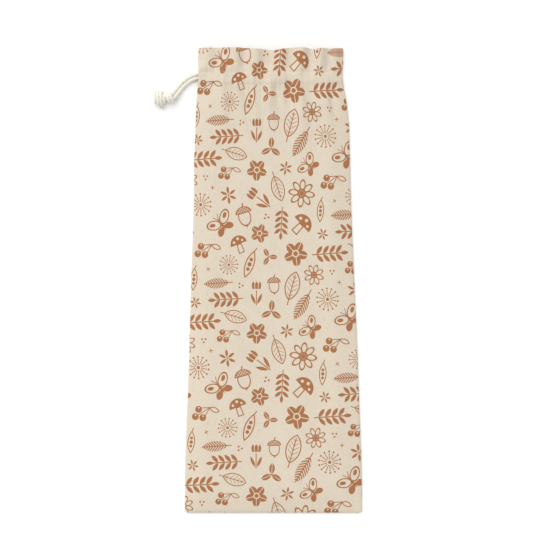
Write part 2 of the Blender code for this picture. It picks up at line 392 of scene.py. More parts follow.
def berries(x, y):
    fruit = circles(x, y, (-5.4, -3.6, 3.8), (4.9, -5.0, 3.8), (-0.8, -11.2, 3.8))
    shine = circles(x, y, (-6.6, -2.4, 0.9), (3.7, -3.8, 0.9), (-2.0, -10.0, 0.9))
    starts = ((-5.4, -1.0), (4.9, -2.0), (-0.6, -8.0))
    stems = least(*(stroke(x, y, start, (0.4, 8.0), 0.48) for start in starts))
    leaf = line_of(blade(x, y, 5.4, 10.6, 5.4, 2.4, -58.0))
    return least(most(fruit, shine * -1.0), stems, leaf)


def cup_flower(x, y):
    cup = oval(x, y, 0.0, 6.6, 5.6, 6.8)
    teeth = y - (x + 2.0).to("PINGPONG", 2.0) * 1.6 - 8.4
    folds = 0.36 - abs(abs(x) - 2.0 - (y - 3.0) * 0.06)
    head = most(cup, teeth, most(folds, 2.6 - y))
    leaf = blade(abs(x), y, 3.9, -8.6, 6.6, 1.7, -24.0)
    return least(head, leaf, stroke(x, y, (0.0, -16.0), (0.0, 0.4), 0.55))


def butterfly(x, y):
    side = abs(x)
    fore = oval(*turned(side - 7.0, y - 4.4, 32.0), 0.0, 0.0, 7.4, 4.5)
    hind = oval(*turned(side - 5.2, y + 5.4, -38.0), 0.0, 0.0, 5.2, 3.4)
    spot = oval(*turned(side - 8.4, y - 5.4, 32.0), 0.0, 0.0, 3.2, 1.9)
    body = oval(x, y, 0.0, 0.0, 1.05, 7.0)
    feeler = stroke(side, y, (0.5, 6.4), (3.0, 11.4), 0.36)
    return least(line_of(fore), spot, most(hind, fore * -1.0 + 1.1), body, feeler)


def seed_burst(x, y):
    u, v = sector(x, y, 14)
    rays = least(stroke(u, v, (3.6, 0.0), (9.6, 0.0), 0.42), circle(u, v, 11.6, 0.0, 1.05))
    return least(rays, length(x, y) - 1.8)


def acorn(x, y):
    nut = most(oval(x, y, 0.0, -1.6, 6.4, 9.2), y - 2.4)
    cap = most(oval(x, y, 0.0, 2.4, 8.4, 6.4), 2.6 - y)
    scales = most(0.30 - (x + y).to("PINGPONG", 1.6), 0.30 - (x - y).to("PINGPONG", 1.6))
    tips = least(stroke(x, y, (0.0, 8.4), (1.5, 12.0), 0.7), blade(x, y, 0.0, -11.4, 1.9, 0.8))
    return least(line_of(nut), most(cap, scales), line_of(cap, 0.4), tips)


def spotted_cap(x, y):
    cap = most(circle(x, y, 0.0, 0.0, 9.4), 0.2 - y)
    spots = circles(x, y, (-4.6, 3.6, 1.4), (0.6, 6.0, 1.5), (4.8, 3.0, 1.2))
    stem = line_of(most(abs(x) - 2.3 - (y * -0.06), abs(y + 4.6) - 4.6))
    return least(most(cap, spots * -1.0), most(stem, y - 0.6))


def three_leaves(x, y):
    u, v = sector(x * -1.0, y, 3)
    leaf = blade(v, u, 0.0, 6.2, 5.8, 2.9)
    stalk = stroke(x, y, (0.0, 0.0), (3.4, -8.8), 0.5)
    return least(most(leaf, 0.3 - v), length(x, y) - 0.8, stalk)


def pod(x, y):
    shell = line_of(blade(x, y, 0.0, 0.0, 12.5, 3.9))
    beads = least(circle(x, abs(y), 0.0, 4.6, 1.7), circle(x, y, 0.0, 0.0, 2.0))
    return least(shell, beads, stroke(x, y, (0.0, 12.0), (1.4, 16.0), 0.5))


def three_dots(x, y):
    return least(circle(abs(x), y, 2.0, -1.2, 1.05), circle(x, y, 0.0, 2.2, 1.05))


def little_cross(x, y):
    return least(most(abs(x) - 2.4, abs(y) - 0.42), most(abs(y) - 2.4, abs(x) - 0.42))


# One repeat of the print, in millimetres. Each next repeat across is dropped along the bag by
# PRINT_DROP. A row is a motif, its place across and along, its turn in degrees and its size.
PRINT_WIDTH = 188.0
PRINT_LENGTH = 230.0
PRINT_DROP = 96.5
INK_EDGE = 0.22
PRINT = (
    (veined_leaf, 7.0, 0.2, -161.4, 1.34),
    (acorn, 1.3, 93.0, 2.4, 1.12),
    (sprig, 12.7, 179.9, 176.5, 1.34),
    (small_star, 19.5, 27.1, 21.2, 1.12),
    (butterfly, 55.2, 30.6, 54.4, 1.18),
    (fern, 42.5, 63.2, 148.5, 1.50),
    (veined_leaf, 27.7, 88.7, -16.3, 1.50),
    (solid_blossom, 33.5, 136.4, -11.1, 1.55),
    (spotted_cap, 42.4, 177.0, -46.6, 1.62),
    (daisy, 43.2, 221.4, 37.2, 1.41),
    (berries, 88.7, 10.2, -54.4, 1.28),
    (seed_burst, 79.6, 72.0, -10.0, 1.32),
    (daisy, 60.2, 106.3, 25.7, 1.06),
    (three_dots, 86.9, 110.8, 58.9, 1.30),
    (sprig, 84.1, 136.5, -86.3, 1.55),
    (small_star, 73.9, 163.8, -12.3, 0.95),
    (pod, 71.1, 196.7, -3.9, 1.23),
    (little_cross, 92.5, 210.9, 30.2, 1.30),
    (butterfly, 111.6, 44.1, 40.7, 1.39),
    (small_star, 121.2, 85.3, -22.9, 1.40),
    (little_cross, 97.4, 95.9, 7.1, 1.30),
    (berries, 120.8, 119.2, -54.4, 1.12),
    (veined_leaf, 131.3, 144.5, -106.4, 1.23),
    (sprig, 118.8, 168.3, 93.4, 1.46),
    (fern, 106.2, 191.1, 93.8, 1.30),
    (seed_burst, 122.7, 217.2, 3.0, 1.12),
    (spotted_cap, 137.6, 16.1, 21.2, 1.34),
    (solid_blossom, 168.1, 31.5, -3.1, 1.18),
    (acorn, 145.0, 57.1, 16.0, 1.37),
    (cup_flower, 164.8, 82.4, 54.4, 1.43),
    (solid_blossom, 164.1, 120.9, 51.3, 1.34),
    (cup_flower, 163.6, 179.8, -0.7, 1.23),
    (three_dots, 140.2, 188.1, 28.8, 1.30),
    (pod, 153.4, 217.8, -20.5, 1.55),
    (three_dots, 178.1, 55.1, 14.1, 1.40),
    (three_leaves, 185.5, 151.2, 26.3, 1.37),
    (three_leaves, 181.5, 228.3, -60.7, 1.12),
)


def new_group(name, entries, results):
    """A shader node group of numbers: its tree, its entries as Terms and its results' sockets."""
    tree = bpy.data.node_groups.new(name, "ShaderNodeTree")
    for way, labels in (("INPUT", entries), ("OUTPUT", results)):
        for label in labels:
            tree.interface.new_socket(label, in_out=way, socket_type="NodeSocketFloat")
    inside = tree.nodes.new("NodeGroupInput")
    outside = tree.nodes.new("NodeGroupOutput")
    return tree, [Term(inside.outputs[entry]) for entry in entries], outside.inputs


def use_group(tree, group, *entries):
    """Place a group in a tree, with its entries in their order. Returns its results as Terms."""
    node = add_node(tree, "Group", dict(enumerate(entries)), node_tree=group)
    return [Term(result) for result in node.outputs]


def motif_group(motif):
    """One motif as a group: the point in, the distance to its ink out, in millimetres."""
    name = motif.__name__.replace("_", " ")
    if name not in bpy.data.node_groups:
        _, (x, y), results = new_group(name, ("x", "y"), ("ink",))
        connect(motif(x, y), results["ink"])
    return bpy.data.node_groups[name]


def placing_group():
    """Moves a point into a motif's own place in the nearest repeat of the print."""
    entries = ("across", "along", "centre across", "centre along", "cosine", "sine")
    tree, given, results = new_group("place a motif", entries, ("x", "y"))
    across, along, centre_across, centre_along, cosine, sine = given
    across = across - centre_across
    along = along - centre_along
    repeat = (across / PRINT_WIDTH).to("ROUND")
    x = across - repeat * PRINT_WIDTH
    y = (along - repeat * PRINT_DROP).to("WRAP", -PRINT_LENGTH / 2, PRINT_LENGTH / 2)
    connect(x * cosine + y * sine, results["x"])
    connect(y * cosine - x * sine, results["y"])
    return tree


def print_group():
    """The whole print as a group: the place on the cloth in millimetres in, ink from 0 to 1 out."""
    tree, place, results = new_group("plant print", ("across", "along"), ("ink",))
    placing = placing_group()
    inks = []
    for motif, across, along, degrees, size in PRINT:
        turn = math.radians(degrees)
        turned_by = (math.cos(turn) / size, math.sin(turn) / size)
        x, y = use_group(tree, placing, *place, across, along, *turned_by)
        (ink,) = use_group(tree, motif_group(motif), x, y)
        inks.append(ink * size)
    connect(soft_step(least(*inks), INK_EDGE, -INK_EDGE), results["ink"])
    return tree


def noise(place, scale, detail=2.0, roughness=0.5, stretch=(1.0, 1.0, 1.0)):
    """Noise at a place, from 0 to 1. The scale is in bumps for each unit of the place."""
    tree = place.id_data
    at = add_node(tree, "Mapping", {"Vector": place, "Scale": stretch}).outputs["Vector"]
    entries = {"Vector": at, "Scale": scale, "Detail": detail, "Roughness": roughness}
    return Term(add_node(tree, "TexNoise", entries).outputs["Fac"])


def opaque(colour):
    """A colour with its alpha, or the socket that it comes from."""
    return colour if isinstance(colour, bpy.types.NodeSocket) else (*colour, 1.0)


def mix_colour(share, first, second):
    """From the first colour at 0 to the second at 1. A colour is a socket or (r, g, b)."""
    entries = {"Factor": share, 6: opaque(first), 7: opaque(second)}
    return add_node(share.socket.id_data, "Mix", entries, data_type="RGBA").outputs[2]


# The shader's entries that all the soft materials share
SOFT_FINISH = {"Specular IOR Level": 0.25, "Sheen Weight": 0.12, "Sheen Roughness": 0.5}


def new_material(name, entries):
    """A soft material with these entries of its shader. Returns the material and the shader."""
    material = bpy.data.materials.new(name)
    material.use_nodes = True
    shader = material.node_tree.nodes["Principled BSDF"]
    for label, value in (SOFT_FINISH | entries).items():
        connect(value, shader.inputs[label])
    return material, shader


def add_bump(shader, height, depth):
    """Make the surface look raised by this height times this depth in metres."""
    entries = {"Strength": 1.0, "Distance": depth, "Height": height}
    bump = add_node(shader.id_data, "Bump", entries)
    connect(bump.outputs["Normal"], shader.inputs["Normal"])


CLOTH_MAP = "Cloth"
THREADS_A_METRE = 1700.0

# Noises: bumps for each unit of the place, detail, roughness and stretch
WARP_NOISE = (1.5, 2.0, 0.6, (1.0, 0.045, 1.0))
WEFT_NOISE = (1.6, 2.0, 0.6, (0.045, 1.0, 1.0))
THICK_NOISE = (0.62, 1.0, 0.5, (0.03, 1.0, 1.0))
PATCH_NOISE = (14.0, 3.0, 0.55)
FLECK_NOISE = (420.0, 1.0, 0.5, (1.0, 0.35, 1.0))
WORN_NOISE = (900.0, 2.0, 0.6)
TONE_NOISE = (60.0,)
FIBRE_NOISE = (2600.0, 2.0, 0.6)
TUFT_NOISE = (500.0, 2.0, 0.5)

# Where in its noise each look starts and is full
PATCH_RANGE = (0.3, 0.7)
THREAD_RANGE = (0.36, 0.64)
FLECK_RANGE = (0.70, 0.78)
WORN_RANGE = (0.40, 0.72)
COTTON_RANGE = (0.34, 0.60)

# What each part adds to the weave's height, and the height that counts as none
WEAVE_SHARE = 0.25
THREAD_SHARE = 0.9
THICK_SHARE = 0.5
WEAVE_BASE = 0.65

WEAVE_BUMP = 0.00018
# The share of the ink that is gone where it is most worn, how much the threads' shade counts in that,
# and how much of the print shows on the cloth's inner side
WORN_INK = 0.22
WORN_BY_SHADE = 0.5
INNER_PRINT = 0.12
COTTON_BUMP = 0.00025
COTTON_SCATTER = 0.001
TUFT_SHARE = 0.6


def weave_group():
    """Plain weave with uneven threads, from the place on the cloth in millimetres."""
    ends = (("across", "along"), ("height", "shade"))
    tree, (across, along), results = new_group("plain weave", *ends)
    place = add_node(tree, "CombineXYZ", {"X": across, "Y": along}).outputs["Vector"]
    warp = noise(place, *WARP_NOISE)
    weft = noise(place, *WEFT_NOISE)
    thick = noise(place, *THICK_NOISE)
    rate = THREADS_A_METRE * MM * math.pi
    over = (across * rate).to("SINE") * (along * rate).to("SINE")
    height = WEAVE_SHARE * over + THREAD_SHARE * warp + THREAD_SHARE * weft + THICK_SHARE * thick
    connect(height - WEAVE_BASE, results["height"])
    connect(0.5 * warp + 0.5 * weft, results["shade"])


def cloth_material(name, colours, printed):
    """Unbleached plain weave. On the cloth's inner side the print only shows through."""
    material, shader = new_material(name, {"Roughness": 0.92})
    tree, groups = material.node_tree, bpy.data.node_groups
    place = add_node(tree, "UVMap", {}, uv_map=CLOTH_MAP).outputs["UV"]
    split = add_node(tree, "SeparateXYZ", {"Vector": place})
    across, along = [Term(split.outputs[axis]) * (1 / MM) for axis in "XY"]

    height, shade = use_group(tree, groups["plain weave"], across, along)
    patches = soft_step(noise(place, *PATCH_NOISE), *PATCH_RANGE)
    flecks = soft_step(noise(place, *FLECK_NOISE), *FLECK_RANGE)
    cloth = mix_colour(patches, colours.cloth_dark, colours.cloth)
    cloth = mix_colour(soft_step(shade, *THREAD_RANGE), cloth, colours.cloth_light)
    cloth = mix_colour(flecks * colours.flecks, cloth, colours.fleck)

    (ink,) = use_group(tree, groups["plant print"], across, along)
    worn = soft_step(noise(place, *WORN_NOISE) + shade * WORN_BY_SHADE, *WORN_RANGE)
    ink = ink * (worn * WORN_INK + (1.0 - WORN_INK)) * printed
    inked = mix_colour(noise(place, *TONE_NOISE), colours.ink, colours.ink_dark)
    connect(mix_colour(ink, cloth, inked), shader.inputs["Base Color"])
    add_bump(shader, height, WEAVE_BUMP)
    return material


def cotton_material(name, colour, dark):
    """Soft cotton with fine fibres and uneven tufts, and painted shade between the fibres."""
    entries = {
        "Roughness": 0.95,
        "Subsurface Weight": 0.2,
        "Subsurface Radius": (1.0, 0.95, 0.85),
        "Subsurface Scale": COTTON_SCATTER,
    }
    material, shader = new_material(name, entries)
    place = add_node(material.node_tree, "TexCoord", {}).outputs["Object"]
    fine = noise(place, *FIBRE_NOISE)
    tufts = noise(place, *TUFT_NOISE)
    # The fine noise also makes the bump, so the darker colour where it is low is painted shade between
    # the fibres; the tufts are the cotton's own uneven tone
    share = soft_step(tufts * TUFT_SHARE + fine * (1.0 - TUFT_SHARE), *COTTON_RANGE)
    connect(mix_colour(share, dark, colour), shader.inputs["Base Color"])
    add_bump(shader, fine, COTTON_BUMP)
    return material


# ---- settings


def size_setting(name, description, default):
    return FloatProperty(name=name, description=description, default=default, unit="LENGTH")


def colour_setting(name, description, default):
    return FloatVectorProperty(
        name=name, description=description, default=default, subtype="COLOR", min=0, max=1
    )


class BagSettings(bpy.types.PropertyGroup):
    """The cloth's sizes and how finely it is shaped."""

    cloth: size_setting("Cloth", "Thickness of one layer", 0.0007)
    hem: size_setting("Hem", "Thickness of the hem's two layers", 0.0013)
    columns: IntProperty(name="Columns", description="Strips across a panel", default=132)
    body_rows: IntProperty(name="Body rows", description="Rows below the gathers", default=120)
    mouth_rows: IntProperty(name="Mouth rows", description="Rows in the gathers", default=118)
    stitch: size_setting("Stitch", "Length of one stitch", 0.0024)
    stitch_gap: size_setting("Stitch gap", "Space between stitches", 0.0008)


class ColourSettings(bpy.types.PropertyGroup):
    """The cloth's, the print's and the cord's colours."""

    cloth: colour_setting("Cloth", "Unbleached cloth", (0.660, 0.580, 0.468))
    cloth_dark: colour_setting("Cloth, darker", "Uneven patches of the cloth", (0.627, 0.548, 0.435))
    cloth_light: colour_setting("Cloth, lighter", "Thicker threads", (0.702, 0.627, 0.516))
    fleck: colour_setting("Fleck", "Bits of seed husk in the threads", (0.33, 0.22, 0.12))
    flecks: FloatProperty(name="Flecks", description="How strongly flecks show", default=0.35)
    ink: colour_setting("Ink", "The print", (0.400, 0.168, 0.070))
    ink_dark: colour_setting("Ink, darker", "Where the print took more ink", (0.345, 0.135, 0.052))
    cord: colour_setting("Cord", "Cotton cord", (0.870, 0.840, 0.765))
    # The darker cord colour is partly painted shade between the cord's fibres and partly the uneven
    # tone of its tufts
    cord_tufts_and_shade: colour_setting("Cord, darker", "Between the cord's fibres", (0.800, 0.760, 0.670))
    knot: colour_setting("Knot", "The knot's looser, whiter cotton", (0.920, 0.900, 0.845))
    thread: colour_setting("Thread", "Sewing thread", (0.690, 0.600, 0.460))
    floor: colour_setting("Floor", "The table", (0.95, 0.95, 0.95))
    sky: colour_setting("Sky", "The light from all round", (1.0, 0.985, 0.96))


class StageSettings(bpy.types.PropertyGroup):
    """The camera and the lights."""

    view_width: size_setting("View width", "How much the picture shows across", 0.793)
    height: size_setting("Camera height", "How far above the table", 2.4)
    key: FloatProperty(name="Key light", description="Strength of the soft key light", default=1.75)
    key_softness: FloatProperty(
        name="Softness", description="How wide the key light looks", default=1.05, unit="ROTATION"
    )
    sky: FloatProperty(name="Sky", description="Strength of the light from all round", default=0.75)


# ---- the stage

VIEW_CENTRE = (0.0092, 0.0007)
SENSOR_WIDTH = 36.0
CLIP_END = 50.0
KEY_FROM = (-0.62, 0.88, 1.10)
FLOOR_SIZE = 12.0


class BREADBAG_OT_stage(bpy.types.Operator):
    """Make the camera straight above the bag, the lights and the pale floor"""

    bl_idname = "breadbag.stage"
    bl_label = "Stage"

    def execute(self, context):
        stage = context.scene.bread_bag_stage
        colours = context.scene.bread_bag_colours
        deselect_all()
        bpy.ops.object.camera_add(location=(*VIEW_CENTRE, stage.height), rotation=(0, 0, 0))
        camera = context.object
        camera.name = "Camera"
        camera.data.sensor_width = SENSOR_WIDTH
        camera.data.lens = SENSOR_WIDTH * stage.height / stage.view_width
        camera.data.clip_end = CLIP_END
        context.scene.camera = camera

        key_from = Vector(KEY_FROM)
        turn = key_from.to_track_quat("Z", "Y").to_euler()
        bpy.ops.object.light_add(type="SUN", location=key_from, rotation=turn)
        key = context.object
        key.name = "Key light"
        key.data.angle = stage.key_softness
        key.data.energy = stage.key

        world = bpy.data.worlds.new("Studio")
        world.use_nodes = True
        sky = world.node_tree.nodes["Background"]
        connect(opaque(colours.sky), sky.inputs["Color"])
        connect(stage.sky, sky.inputs["Strength"])
        context.scene.world = world

        bpy.ops.mesh.primitive_plane_add(size=FLOOR_SIZE, location=(0, 0, 0))
        floor = context.object
        floor.name = "Floor"
        entries = {"Roughness": 0.8, "Sheen Weight": 0.0, "Base Color": opaque(colours.floor)}
        floor.data.materials.append(new_material("Pale table", entries)[0])
        context.scene.view_settings.view_transform = "Standard"
        return {"FINISHED"}


# ---- the cord

PLIES = 3
PLY_POINTS = 8
PLY_DEPTH = 0.13
PLY_SOFTNESS = 0.8
TWIST_PITCH = 0.0125
END_LEAST = 0.003
WELD = 0.00001
TINY = 1e-9
FIBRE_CORNERS = 3
FIBRE_SHARES = (1.0, 0.8, 0.25)
FUZZ_WIDTH = 0.00009
FUZZ_ROOT = 0.0002
FUZZ_SHARES = (0.35, 1.0)
FUZZ_OUT = 0.8
FUZZ_ALONG = 0.6
FUZZ_CURL = (-0.1, 0.5)
LEAST_HEIGHT = 0.0001
CHANNEL_SQUEEZE = 0.84
SQUEEZE_FADE = 0.010


def path_length(points):
    return sum((b - a).length for a, b in zip(points, points[1:]))


def end_share(place, whole, radius):
    """The share of a cord's full radius near its rounded ends."""
    out = max(0.0, 1.0 - min(place, whole - place) / radius)
    return math.sqrt(max(1.0 - out * out, END_LEAST))


def channel_share(place):
    """The share of a strand's width at a place: the channel's stitches squeeze it a little."""
    return CHANNEL_SQUEEZE + (1.0 - CHANNEL_SQUEEZE) * smooth((CORD_EXIT[0] - place.x) / SQUEEZE_FADE)


def twisted_tube(
    name, points, diameter, pitch=TWIST_PITCH, start_turn=0.0, round_ends=False, squeezed=False
):
    """A cord of twisted plies along these points, as a closed mesh."""
    deselect_all()
    bpy.ops.curve.primitive_bezier_circle_add(radius=1.0)
    section = bpy.context.object
    section.data.splines.clear()
    count = PLIES * PLY_POINTS
    line = section.data.splines.new("POLY")
    line.points.add(count - 1)
    for i, point in enumerate(line.points):
        angle = 2 * math.pi * i / count
        radius = diameter / 2 * (1 - PLY_DEPTH * (1 - abs(math.cos(PLIES * angle / 2)) ** PLY_SOFTNESS))
        point.co = (radius * math.cos(angle), radius * math.sin(angle), 0.0, 1.0)
    line.use_cyclic_u = True

    bpy.ops.curve.primitive_bezier_curve_add()
    cord = bpy.context.object
    cord.name = name
    cord.data.splines.clear()
    cord.data.dimensions = "3D"
    route = cord.data.splines.new("POLY")
    route.points.add(len(points) - 1)
    whole = path_length(points)
    gone = 0.0
    for i, (place, point) in enumerate(zip(route.points, points)):
        if i:
            gone += (point - points[i - 1]).length
        place.co = (*point, 1.0)
        place.tilt = 2 * math.pi * (start_turn + gone / pitch)
        place.radius = end_share(gone, whole, diameter / 2) if round_ends else 1.0
        if squeezed:
            place.radius = channel_share(point)
    cord.data.bevel_mode = "OBJECT"
    cord.data.bevel_object = section
    cord.data.use_fill_caps = True
    take(cord)
    bpy.ops.object.transform_apply(location=True, rotation=True, scale=True)
    bpy.ops.object.convert(target="MESH")
    bpy.data.objects.remove(section)
    cord = bpy.context.object
    weld(cord)
    bpy.ops.object.shade_smooth()
    return cord


def weld(piece):
    """Merge points that lie on each other, and turn every face outwards."""
    merge = (bpy.ops.mesh.remove_doubles, {"threshold": WELD})
    edit(piece, merge, (bpy.ops.mesh.normals_make_consistent, {"inside": False}))


def unit(vectors):
    return vectors / np.maximum(np.linalg.norm(vectors, axis=1, keepdims=True), TINY)


def fibres(name, root, middle, tip, side, out, width):
    """Thin fibres, each bent once, as one mesh. Every place is a row of an array."""
    rings = []
    for place, share in zip((root, middle, tip), FIBRE_SHARES):
        for turn in np.linspace(0.0, 2 * math.pi, FIBRE_CORNERS, endpoint=False):
            offset = side * math.cos(turn) + out * math.sin(turn)
            rings.append(place + offset * (width * share / 2))
    points = np.stack(rings, axis=1).reshape(-1, 3)
    points[:, 2] = np.maximum(points[:, 2], width)
    last = (len(FIBRE_SHARES) - 1) * FIBRE_CORNERS
    one = [tuple(range(FIBRE_CORNERS))[::-1], tuple(range(last, last + FIBRE_CORNERS))]
    for low in range(0, last, FIBRE_CORNERS):
        for k in range(FIBRE_CORNERS):
            after = (k + 1) % FIBRE_CORNERS
            high = low + FIBRE_CORNERS
            one.append((low + k, low + after, high + after, high + k))
    step = last + FIBRE_CORNERS
    faces = [[corner + i * step for corner in face] for i in range(len(root)) for face in one]
    mesh = bpy.data.meshes.new(name)
    mesh.from_pydata(points.tolist(), [], faces)
    tuft = bpy.data.objects.new(name, mesh)
    bpy.context.scene.collection.objects.link(tuft)
    return tuft


def fuzz(piece, count, reach, seed):
    """Loose fibres that stand off a cord's surface."""
    random = np.random.default_rng(seed)
    faces = piece.data.polygons
    areas = np.array([face.area for face in faces])
    picked = random.choice(len(faces), count, p=areas / areas.sum())
    centres = np.array([faces[int(i)].center for i in picked])
    out = np.array([faces[int(i)].normal for i in picked])
    side = unit(np.cross(out, random.normal(size=(count, 3))))
    along = unit(np.cross(side, out))
    lengths = reach * random.uniform(*FUZZ_SHARES, (count, 1))
    root = centres - out * FUZZ_ROOT
    middle = root + (out * FUZZ_OUT + along * FUZZ_ALONG) * lengths * 0.5
    tip = middle + (out * random.uniform(*FUZZ_CURL, (count, 1)) + along) * lengths * 0.5
    return fibres("Fuzz", root, middle, tip, side, out, FUZZ_WIDTH)


def rest_on_table(piece):
    """Press the piece's lowest points flat where they lie on the table."""
    points = np.zeros(len(piece.data.vertices) * 3)
    piece.data.vertices.foreach_get("co", points)
    points[2::3] = np.maximum(points[2::3], LEAST_HEIGHT)
    piece.data.vertices.foreach_set("co", points)


def join(name, pieces):
    deselect_all()
    for piece in pieces:
        piece.select_set(True)
    bpy.context.view_layer.objects.active = pieces[0]
    bpy.ops.object.join()
    joined = bpy.context.object
    joined.name = name
    return joined


def cotton_piece(name, parts, material):
    """Join tubes and loose fibres into one smooth piece of this material that rests on the table."""
    piece = join(name, parts)
    rest_on_table(piece)
    piece.data.materials.clear()
    piece.data.materials.append(material)
    bpy.ops.object.shade_smooth()
    return piece


# ---- the drawstring

STRAND_STEP = 0.0008
STRAND_LOOK = 0.0056
STRAND_TURN = 0.3
STRAND_FIBRES = 900
STRAND_FUZZ = 0.0011
STRAND_SEED = 5


def strand_points(side):
    return curve_points(CORD_ROUTE, STRAND_STEP, side * STRAND_SPACING / 2)


class BREADBAG_OT_drawstring(bpy.types.Operator):
    """Make the two strands of the cord, from the channel's left end to the knot"""

    bl_idname = "breadbag.drawstring"
    bl_label = "Drawstring"

    def execute(self, context):
        colours = context.scene.bread_bag_colours
        cotton = cotton_material("Cotton cord", colours.cord, colours.cord_tufts_and_shade)
        for name, node, side in (
            ("Cord_upper", "drawstring_upper", 1),
            ("Cord_lower", "drawstring_lower", -1),
        ):
            points = strand_points(side)
            tube = twisted_tube(name, points, STRAND_LOOK, start_turn=STRAND_TURN * side, squeezed=True)
            loose = fuzz(tube, STRAND_FIBRES, STRAND_FUZZ, STRAND_SEED + side)
            strand = cotton_piece(name, [tube, loose], cotton)
            finish_piece(strand, "cord", node)
            path_length(points)
        return {"FINISHED"}


# ---- the knot

KNOT_STEP = 0.0009
CORE_WIDTH = 0.0088
CORE_PITCH = 0.03
FRAY_FIBRES = 90
FRAY_LENGTH = 0.0040
FRAY_SHARES = (0.5, 1.0)
FRAY_WIDTH = 0.00018
FRAY_ROOT = 0.0015
FRAY_ROOT_SHARE = 0.42
FRAY_SPREAD = 0.4
FRAY_SEED = 3
KNOT_FIBRES = 2600
KNOT_FUZZ = 0.0015
KNOT_SEED = 9


def wrap_points(wrap):
    """The turns of one bundle of the knot, tucked in towards its ends, in millimetres."""
    start, end = Vector(wrap.start), Vector(wrap.end)
    ahead = (end - start).normalized()
    right = Vector((ahead.y, -ahead.x, 0.0))
    count = round(wrap.turns * WRAP_STEPS)
    points = []
    for i in range(count + 1):
        share = i / count
        angle = 2 * math.pi * (wrap.start_turn + wrap.turns * share)
        out = 1.0 - WRAP_TUCK * (2 * share - 1.0) ** 2
        point = start.lerp(end, share) + ahead * (wrap.lean * math.cos(angle))
        point += right * (math.cos(angle) * wrap.half_width * out)
        point.z += math.sin(angle) * wrap.half_height * out
        points.append(point)
    return points


def in_metres(points):
    return [Vector(point) * MM for point in points]


def fray(name, end, ahead, seed):
    """Loose fibres that fan out of a cut end of the cord."""
    random = np.random.default_rng(seed)
    side = ahead.orthogonal().normalized()
    up = ahead.cross(side)
    turn = random.uniform(0, 2 * math.pi, (FRAY_FIBRES, 1))
    spread = np.sqrt(random.uniform(0, 1, (FRAY_FIBRES, 1)))
    out = np.array(side) * np.cos(turn) + np.array(up) * np.sin(turn)
    lengths = FRAY_LENGTH * random.uniform(*FRAY_SHARES, (FRAY_FIBRES, 1))
    ahead = np.array(ahead)
    root = np.array(end) + out * spread * STRAND * FRAY_ROOT_SHARE - ahead * FRAY_ROOT
    middle = root + (ahead + out * spread * FRAY_SPREAD) * lengths * 0.5
    tip = middle + (ahead + out * random.uniform(0.0, 1.0, (FRAY_FIBRES, 1))) * lengths * 0.5
    return fibres(name, root, middle, tip, out, unit(np.cross(out, ahead)), FRAY_WIDTH)


class BREADBAG_OT_knot(bpy.types.Operator):
    """Make the knot: the cord wound in two bundles, with its short frayed tail"""

    bl_idname = "breadbag.knot"
    bl_label = "Knot"

    def execute(self, context):
        colours = context.scene.bread_bag_colours
        wound = [Vector(KNOT_CORE[1])]
        for wrap in WRAPS:
            wound += wrap_points(wrap)
        wound = curve_points(in_metres(wound + [Vector(KNOT_CORE[2])]), KNOT_STEP)
        core = curve_points(in_metres(KNOT_CORE), KNOT_STEP)
        tail = curve_points(in_metres(KNOT_TAIL), KNOT_STEP)
        parts = [
            twisted_tube("Wound cord", wound, STRAND, round_ends=True),
            twisted_tube("Core", core, CORE_WIDTH, pitch=CORE_PITCH, round_ends=True),
            twisted_tube("Tail", tail, STRAND, round_ends=True),
        ]
        tail_end = (tail[-1], (tail[-1] - tail[-3]).normalized())
        parts.append(fray("Tail fibres", *tail_end, FRAY_SEED))
        parts.append(fuzz(parts[0], KNOT_FIBRES, KNOT_FUZZ, KNOT_SEED))
        cotton = cotton_material("Knotted cotton", colours.knot, colours.cord_tufts_and_shade)
        finish_piece(cotton_piece("Knot", parts, cotton), "cord", "drawstring_knot")
        return {"FINISHED"}


# ---- the panels

STITCH_ROWS = (LOWER_STITCHES, UPPER_STITCHES)
RAY_HEIGHT = 0.1
GATHERS_FROM = 0.196
SIDE_STEPS = 18
CORNER_ZONE = 0.012
CORNER_SHARE = 0.35
MOUTH_ZONE = 0.012
SMOOTHING = 2
GATHERED_SHARE = 0.5
BACK_PRINT_SHIFT = 1.13
HEM_FADE = 0.003

# Solids are read a little inside their outline, where a ray still meets them
SIDE_INSET = 0.00005
READ_ACROSS = 0.9995
READ_ALONG = 0.9998

# How far in from the sides the creases, the puckers and the sunk stitches reach their full depth
CREASE_EDGE = 0.012
PUCKER_EDGE = 0.010
SINK_EDGE = 0.004

# How fast a crease rises from its start and sinks to its end: 4 is over a quarter of its length
CREASE_FADE_IN = 4.0
CREASE_FADE_OUT = 2.2

RUFFLE_RIDGES = np.array((-123.0, -96.0, -57.0, -25.0, 10.0, 40.0, 66.0, 92.0, 118.0)) * MM
RUFFLE_DEPTH = 0.0020
RUFFLE_BELOW = 0.004
RUFFLE_FADE = 0.014

# The puckers, and how they drift sideways and vary: each size, rate along the row and shift by row
PUCKER_PITCH = 0.0078
PUCKER_DEPTH = 0.00045
PUCKER_REACH = 0.011
PUCKER_SHIFT = 1.7
PUCKER_DRIFTS = ((0.0021, 61.0, 1.0), (0.0014, 143.0, 2.0))
PUCKER_CHANGE = (0.4, 97.0, 3.1)
STITCH_SINK = 0.00045
SINK_REACH = 0.0022

HOLE_HALF = 0.0068
HOLE_FADE = 0.0035
HOLE_INNER_END = -0.080
SEAM_INSET = 0.0085
SEAM_RISE = 0.0003
SEWN_GAP = 0.0004
EDGE_ROLL = 0.0013
EDGE_POINTS = np.array((0.0, 0.0002, 0.0005, 0.0009, 0.0014, 0.0024))

# The back panel lies almost flat, with low waves towards its mouth
BACK_LIFT = 0.0002
BACK_EDGE = 0.0026
WAVE_DEPTH = 0.0008
WAVE_EDGE = 0.02
WAVES_FROM = 0.225
WAVES_FADE = 0.04
WAVE_RATE = 300.0
WAVE_SLANT = 9.0
WAVE_SWAY = 0.8
SWAY_RATE = 90.0


def height_at(tree, x, y):
    """The height of the uppermost face over a place, or None where there is none."""
    hit = tree.ray_cast(Vector((x, y, RAY_HEIGHT)), Vector((0, 0, -1)))[0]
    return None if hit is None else hit.z


